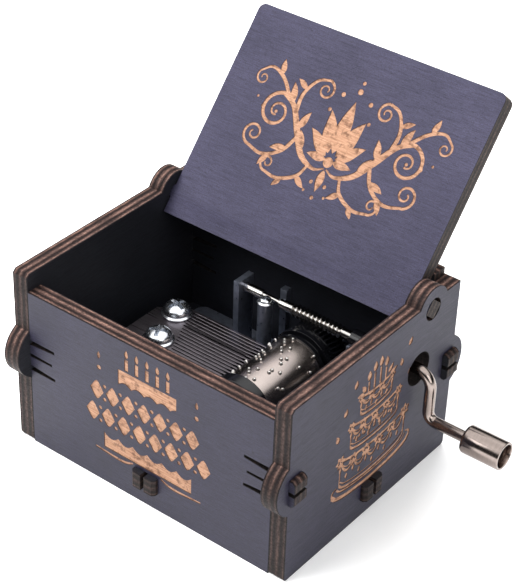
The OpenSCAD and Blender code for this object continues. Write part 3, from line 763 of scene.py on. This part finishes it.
def screw_profile(head_r, head_h, dome_r, shank_r, shank_len):
    """A flanged dome-headed screw from its tip to the top of the head, and its flange's height."""
    ease, gap = 0.12, 0.15
    flange = min(0.5, head_h * 0.3)
    profile = [(0, -shank_len), (shank_r * 0.8, -shank_len), (shank_r, -shank_len + 0.25), (shank_r, 0)]
    profile += [(head_r - ease, 0), (head_r, ease), (head_r, flange - ease), (head_r - ease, flange)]
    profile += [(dome_r + ease, flange + 0.03), (dome_r, flange + gap)]
    rise, steps = head_h - flange - gap, 8
    for i in range(1, steps):
        a = math.radians(90 * i / steps)
        profile.append((dome_r * math.cos(a) ** 0.62, flange + gap + rise * math.sin(a)))
    return profile + [(0, head_h)], flange


def cross_cutter(bm, place, length, width, turn, top, bottom):
    """A cross that tapers from the height top to the height bottom, turned by an angle in degrees."""
    c, s = math.cos(math.radians(turn)), math.sin(math.radians(turn))
    quarter = ((length, -width), (length, width), (width, width))
    outline = []
    for _ in range(4):
        outline += quarter
        quarter = [(-y, x) for x, y in quarter]
    rows = []
    for h, k in ((top, 1.06), (bottom, 0.55)):
        rows.append([bm.verts.new(place((x * c - y * s) * k, (x * s + y * c) * k, h)) for x, y in outline])
    bm.faces.new(rows[0])
    bm.faces.new(rows[1][::-1])
    skin(bm, rows)


def cross_screws(node, places, head_r, head_h, dome_r, shank_r, shank_len, turn):
    """Flanged cross-recess screws: place(x, y, z) puts a screw's own coordinates in the frame."""
    bm, cut = bmesh.new(), bmesh.new()
    profile, flange = screw_profile(head_r, head_h, dome_r, shank_r, shank_len)
    recess_bottom = head_h - 0.75 * (head_h - flange * 0.4)
    for i, place in enumerate(places):
        lathe(bm, profile, place, 56)
        cross_cutter(cut, place, dome_r * 0.78, dome_r * 0.16, turn + 50 * i, head_h + 0.4, recess_bottom)
    bmesh.ops.recalc_face_normals(bm, faces=bm.faces)
    bmesh.ops.triangulate(cut, faces=[f for f in cut.faces if len(f.verts) > 4])
    bmesh.ops.recalc_face_normals(cut, faces=cut.faces)
    obj = new_object(node + "_body", bm, [screw_steel])
    cutter = new_object(node + "_cutter", cut, [screw_steel])
    mod = obj.modifiers.new("recess", "BOOLEAN")
    mod.operation = "DIFFERENCE"
    mod.solver = "EXACT"
    mod.object = cutter
    mesh = baked(obj)
    bpy.data.objects.remove(cutter, do_unlink=True)
    bpy.data.objects.remove(obj, do_unlink=True)
    stand_in(mesh_object(node + "_domed", mesh, [screw_steel], 32), node, "case")


def upright(x, y, z):
    return lambda a, b, h: Vector((x + a, y + b, z + h)) * MM


def hanging(x, y, z):
    return lambda a, b, h: Vector((x + a, y - b, z - h)) * MM


def facing_front(x, y, z):
    return lambda a, b, h: Vector((x + a, y - h, z + b)) * MM


cross_screws("comb_screws", [upright(x, y, COMB_TOP) for x, y in COMB_SCREWS_AT],
             head_r=3.1, head_h=2.4, dome_r=2.75, shank_r=1.25, shank_len=8.9, turn=25)
cross_screws("movement_screws", [hanging(x, y, BOTTOM_Z) for x, y in MOVEMENT_SCREWS_AT],
             head_r=2.3, head_h=1.4, dome_r=1.8, shank_r=1.25, shank_len=5.6, turn=20)
cross_screws("bearing_plate_screws", [facing_front(DRUM_X + d, *PLATE_SCREWS_YZ) for d in (-2.5, 2.5)],
             head_r=1.4, head_h=0.9, dome_r=1.15, shank_r=0.7, shank_len=3.6, turn=10)
cross_screws("shaft_retaining_screw", [upright(*RETAINING_SCREW_AT)],
             head_r=1.6, head_h=1.1, dome_r=1.25, shank_r=0.8, shank_len=5.5, turn=30)

eased_stand_in("bedplate", "bedplate_cast", 0.14, zinc, "case")

GEAR_MODULE = 0.3
WORM_PITCH = math.pi * GEAR_MODULE
WORM_X0, WORM_X1 = 3.4, 15.0


def along_shaft(z=SHAFT_Z):
    """Puts (a, b, h) with h along +X, around the shaft's or the knob's axis."""
    return lambda a, b, h: Vector((h, SHAFT_Y + a, z + b)) * MM


def worm_shaft():
    """The shaft in one skin: journals, neck, right-handed worm and the crank's socket."""
    segments, steps = 40, 150
    pitch_r, addendum, dedendum = 1.05, 0.3, 0.375
    half_thread, phase = 0.2, 0.25
    flank = math.tan(math.radians(20))

    def thread_r(x, angle):
        """The worm's radius, faded out to the plain shaft at both ends."""
        u = ((x - DRUM_X) / WORM_PITCH - angle / (2 * math.pi) + phase + 0.5) % 1 - 0.5
        above = (half_thread - abs(u) * WORM_PITCH) / flank
        fade = min(1.0, (x - WORM_X0 + 0.02) / 0.5, (WORM_X1 + 0.02 - x) / 0.5)
        return pitch_r + max(-dedendum, min(addendum, above)) * fade - 0.05 * (1 - fade)

    # (x, radius), with no radius along the worm
    profile = [(-10.1, 0), (-10.1, 0.85), (-9.95, 1.0), (-3.9, 1.0), (-3.8, 0.9), (-3.8, 0.6),
               (0.3, 0.6), (0.3, 0.9), (0.4, 1.0), (WORM_X0 - 0.02, 1.0)]
    profile += [(WORM_X0 + (WORM_X1 - WORM_X0) * i / steps, None) for i in range(steps + 1)]
    profile += [(WORM_X1 + 0.02, 1.0), (20.2, 1.0), (20.2, 1.6), (20.35, 1.75), (24.85, 1.75),
                (25.0, 1.6), (25.0, 1.12), (21.4, 1.12), (21.4, 0)]
    bm = bmesh.new()
    place = along_shaft()
    rings = []
    for x, r in profile:
        if r == 0:
            rings.append([bm.verts.new(place(0, 0, x))])
            continue
        ring = []
        for a, b, angle in circle(1, segments):
            at = thread_r(x, angle) if r is None else r
            ring.append(bm.verts.new(place(at * a, at * b, x)))
        rings.append(ring)
    skin(bm, rings)
    bmesh.ops.recalc_face_normals(bm, faces=bm.faces)
    return new_object("worm_shaft_turned", bm, [bright_steel], 35)


stand_in(worm_shaft(), "worm_shaft", "crank")


def crank_rod():
    """The bent rod as one swept skin with its thinner end for the knob."""
    segments, steps = 40, 16

    def bend(x, z, r, start, sweep):
        """A bend around (x, z), as (x, z, direction x, direction z, rod radius)."""
        turn = math.copysign(1, sweep)
        angles = [math.radians(start + sweep * i / steps) for i in range(steps + 1)]
        return [(x + r * math.cos(a), z + r * math.sin(a), -turn * math.sin(a), turn * math.cos(a), ROD_R)
                for a in angles]

    step, tip = KNOB_X0 + 0.7, KNOB_X1 - 1.35
    path = [(21.4, SHAFT_Z, 1, 0, ROD_R)]
    path += bend(ROD_ARM_X - ROD_BEND_R, SHAFT_Z - ROD_BEND_R, ROD_BEND_R, 90, -90)
    path += bend(ROD_ARM_X + ROD_FOOT_R, KNOB_Z + ROD_FOOT_R, ROD_FOOT_R, 180, 90)
    path += [(x, KNOB_Z, 1, 0, r) for x, r in (
        (step - 0.15, ROD_R), (step, ROD_R - 0.15), (step, ROD_TIP_R),
        (tip - 0.15, ROD_TIP_R), (tip, ROD_TIP_R - 0.15),
    )]
    bm = bmesh.new()
    rings = []
    for x, z, dx, dz, r in path:
        rings.append([
            bm.verts.new(Vector((x - dz * out, SHAFT_Y + side, z + dx * out)) * MM)
            for out, side, _ in circle(r, segments)
        ])
    skin(bm, rings)
    bm.faces.new(rings[0])
    bm.faces.new(rings[-1])
    bmesh.ops.recalc_face_normals(bm, faces=bm.faces)
    return new_object("crank_rod_bent", bm, [nickel], 40)


stand_in(crank_rod(), "crank_rod", "crank")


def crank_knob():
    """The knob: a turned barrel with rolled lips and a recessed end."""
    x0, x1, r, bore, inner = KNOB_X0, KNOB_X1, KNOB_R, KNOB_RECESS_R, 0.85
    mouth, step, recess_end = 1.15, KNOB_X0 + 0.74, KNOB_X1 - KNOB_RECESS_DEPTH
    profile = [
        (mouth, step), (mouth, x0 + 0.12), (mouth + 0.12, x0),
        (r - 0.4, x0), (r - 0.15, x0 + 0.08), (r - 0.02, x0 + 0.26), (r, x0 + 0.5),
        (r, x1 - 0.25), (r - 0.03, x1 - 0.1), (r - 0.1, x1 - 0.02), (r - 0.18, x1),
        (bore + 0.16, x1), (bore + 0.05, x1 - 0.04), (bore, x1 - 0.15),
        (bore, recess_end), (inner, recess_end), (inner, step), (mouth, step),
    ]
    bm = bmesh.new()
    lathe(bm, profile, along_shaft(KNOB_Z), 72)
    bmesh.ops.remove_doubles(bm, verts=bm.verts, dist=1e-7)
    bmesh.ops.recalc_face_normals(bm, faces=bm.faces)
    return new_object("crank_knob_turned", bm, [nickel], 35)


stand_in(crank_knob(), "crank_knob", "knob")


def comb_ground():
    """The comb with a ground top, and every face that doesn't look up painted darker as the shade in its
    slits.
    """
    source = bevelled("comb", 0.05, 1)
    for polygon in source.data.polygons:
        # Faces that don't look up get the darker steel as painted shade.
        polygon.material_index = 0 if polygon.normal.z > 0.3 else 1
    comb = mesh_object("comb_ground", source.data, [comb_steel, comb_shaded_walls], FLAT_DEG)
    stand_in(comb, "comb", "case")
    bpy.data.objects.remove(source, do_unlink=True)


comb_ground()

for name, width in (("drum_front_cap", 0.18), ("worm_wheel", 0.07)):
    eased_stand_in(name, name + "_moulded", width, black, "drum")


def separate_parts(bm):
    """The vertices of each connected part of a mesh, in the same order each run."""
    reached = set()
    for start in bm.verts:
        if start in reached:
            continue
        reached.add(start)
        part = [start]
        for v in part:
            for edge in v.link_edges:
                other = edge.other_vert(v)
                if other not in reached:
                    reached.add(other)
                    part.append(other)
        yield part


def drum_pins():
    """Round-topped pins, each in a thin dark ring of painted shade, where the CAD has its pins."""
    source = bmesh.new()
    source.from_mesh(nodes["drum_pins"].data)
    bmesh.ops.remove_doubles(source, verts=source.verts, dist=2e-7)
    r, top = DRUM_PIN_R, DRUM_R + DRUM_PIN_OUT
    pin = [(0, DRUM_R - 0.35), (r, DRUM_R - 0.35), (r, top - 0.14), (r * 0.85, top - 0.05),
           (r * 0.5, top - 0.01), (0, top)]
    # Painted shade: a thin near-black disc around each pin's foot stands for the shadow round the pin.
    shade_ring_r, shade_ring_h = 0.39, 0.03
    shade_ring = [(0, DRUM_R - 0.2), (shade_ring_r, DRUM_R - 0.2), (shade_ring_r, DRUM_R + 0.005),
            (shade_ring_r - 0.06, DRUM_R + shade_ring_h), (0, DRUM_R + shade_ring_h)]
    pins, shade_rings = bmesh.new(), bmesh.new()
    for part in separate_parts(source):
        middle = sum((v.co for v in part), Vector()) / len(part) / MM
        out = Vector((middle.x - DRUM_X, 0, middle.z - DRUM_Z)).normalized()
        side = out.cross(Vector(Y_AXIS))
        base = Vector((DRUM_X, middle.y, DRUM_Z))

        def place(a, b, h, base=base, out=out, side=side):
            return (base + out * h + side * a + Vector(Y_AXIS) * b) * MM

        lathe(pins, pin, place, 16)
        lathe(shade_rings, shade_ring, place, 18)
    source.free()
    for bm in (pins, shade_rings):
        bmesh.ops.recalc_face_normals(bm, faces=bm.faces)
    stand_in(new_object("drum_pins_domed", pins, [pin_steel], 50), "drum_pins", "drum")
    stand_in(new_object("drum_pin_shade_rings", shade_rings, [pin_shade], 50), "drum_pins", "drum")


drum_pins()

for name, material in (
    ("comb_base", zinc), ("comb_weights", lead), ("comb_dampers", black), ("drum_shell", drum_steel),
    ("drum_arbor", bright_steel), ("drum_bearing_plate", bright_steel), ("shaft_bearing", black),
    ("knob_washer", nickel),
):
    for slot in nodes[name].material_slots:
        slot.material = material


# ---------------------------------------------------------------- floor, light and camera
FLOOR_HALF, FLOOR_Z = 3.0, -0.00002


def floor():
    bm = bmesh.new()
    bmesh.ops.create_grid(bm, x_segments=1, y_segments=1, size=FLOOR_HALF)
    for v in bm.verts:
        v.co.z = FLOOR_Z
    m = Mat("pale_floor")
    cloud = m.noise((12, 12, 12), detail=2)
    m.to("Base_Color", m.ramp(cloud, [(0.3, srgb(243, 243, 243)), (0.7, srgb(248, 248, 248))]))
    m.set(Roughness=0.7, Emission_Color=(1, 1, 1, 1), Emission_Strength=0.25)
    new_object("floor", bm, [m.mat])


floor()

world = bpy.data.worlds.new("studio")
scene.world = world
world.use_nodes = True
sky = world.node_tree
sky.nodes.clear()


def backdrop(strength, stops):
    """A backdrop whose brightness follows the height of the direction, from the horizon up."""
    height = sky.nodes.new("ShaderNodeSeparateXYZ")
    sky.links.new(sky.nodes.new("ShaderNodeTexCoord").outputs["Generated"], height.inputs[0])
    ramp = sky.nodes.new("ShaderNodeValToRGB")
    while len(ramp.color_ramp.elements) < len(stops):
        ramp.color_ramp.elements.new(0.5)
    for element, (position, v) in zip(ramp.color_ramp.elements, stops):
        element.position = position
        element.color = (v, v, v, 1)
    sky.links.new(height.outputs["Z"], ramp.inputs[0])
    background = sky.nodes.new("ShaderNodeBackground")
    background.inputs["Strength"].default_value = strength
    sky.links.new(ramp.outputs[0], background.inputs["Color"])
    return background


def either(ray, otherwise, chosen):
    """Shows the second shader to one kind of ray and the first to all others."""
    chooser = sky.nodes.new("ShaderNodeMixShader")
    sky.links.new(sky.nodes.new("ShaderNodeLightPath").outputs[ray], chooser.inputs[0])
    sky.links.new(otherwise.outputs[0], chooser.inputs[1])
    sky.links.new(chosen.outputs[0], chooser.inputs[2])
    return chooser


# The room that metal mirrors has a dark band above the horizon and a bright ceiling
soft_room = backdrop(0.8, [(0.0, 0.9), (0.1, 0.8), (0.17, 0.03), (0.45, 0.03), (0.56, 0.7), (1.0, 1.2)])
mirrored_room = backdrop(1.0, [
    (0.0, 0.9), (0.06, 0.8), (0.14, 0.04), (0.5, 0.06), (0.66, 1.3), (0.85, 2.0), (1.0, 1.6),
])
white = backdrop(1.0, [(0.0, 0.95), (1.0, 1.0)])
seen = either("Is Camera Ray", either("Is Glossy Ray", soft_room, mirrored_room), white)
sky.links.new(seen.outputs[0], sky.nodes.new("ShaderNodeOutputWorld").inputs["Surface"])


def area_light(name, place, target, size, power, mirrored_in_metal=True):
    data = bpy.data.lights.new(name, "AREA")
    data.shape = "RECTANGLE"
    data.size, data.size_y = size
    data.energy = power
    obj = bpy.data.objects.new(name, data)
    obj.location = place
    obj.rotation_mode = "QUATERNION"
    obj.visible_glossy = mirrored_in_metal
    obj.rotation_quaternion = (Vector(target) - Vector(place)).to_track_quat("-Z", "Y")
    scene.collection.objects.link(obj)


BOX_MIDDLE, BOX_OPENING = (0, 0, 0.03), (0, 0.02, 0.05)
area_light("key", (-0.24, -0.2, 0.54), BOX_MIDDLE, (0.5, 0.42), 6.6, False)
area_light("sheen", (-0.32, -0.44, 0.42), BOX_OPENING, (0.34, 0.3), 0.9)
area_light("fill", (0.42, -0.16, 0.22), BOX_MIDDLE, (0.3, 0.3), 0.8)
area_light("back", (-0.3, 0.42, 0.4), BOX_MIDDLE, (0.5, 0.36), 4.6, False)

# Where the camera stands in mm, and the degrees it is turned left of +Y, tipped down and rolled
CAMERA_AT = (169.335, -218.019, 227.313)
CAMERA_TURN, CAMERA_DOWN, CAMERA_ROLL = 36.914, 34.949, 2.229
CAMERA_LENS = 113.165


def photo_camera():
    """The camera above the box's front right corner."""
    camera = bpy.data.objects.new("camera", bpy.data.cameras.new("camera"))
    scene.collection.objects.link(camera)
    camera.data.lens = CAMERA_LENS
    camera.data.sensor_width = 36
    camera.data.clip_start, camera.data.clip_end = 0.01, 20
    camera.matrix_world = (
        Matrix.Translation(Vector(CAMERA_AT) * MM)
        @ Matrix.Rotation(math.radians(CAMERA_TURN), 4, "Z")
        @ Matrix.Rotation(math.radians(90 - CAMERA_DOWN), 4, "X")
        @ Matrix.Rotation(math.radians(CAMERA_ROLL), 4, "Z")
    )
    scene.camera = camera


photo_camera()
scene.view_settings.view_transform = "Standard"
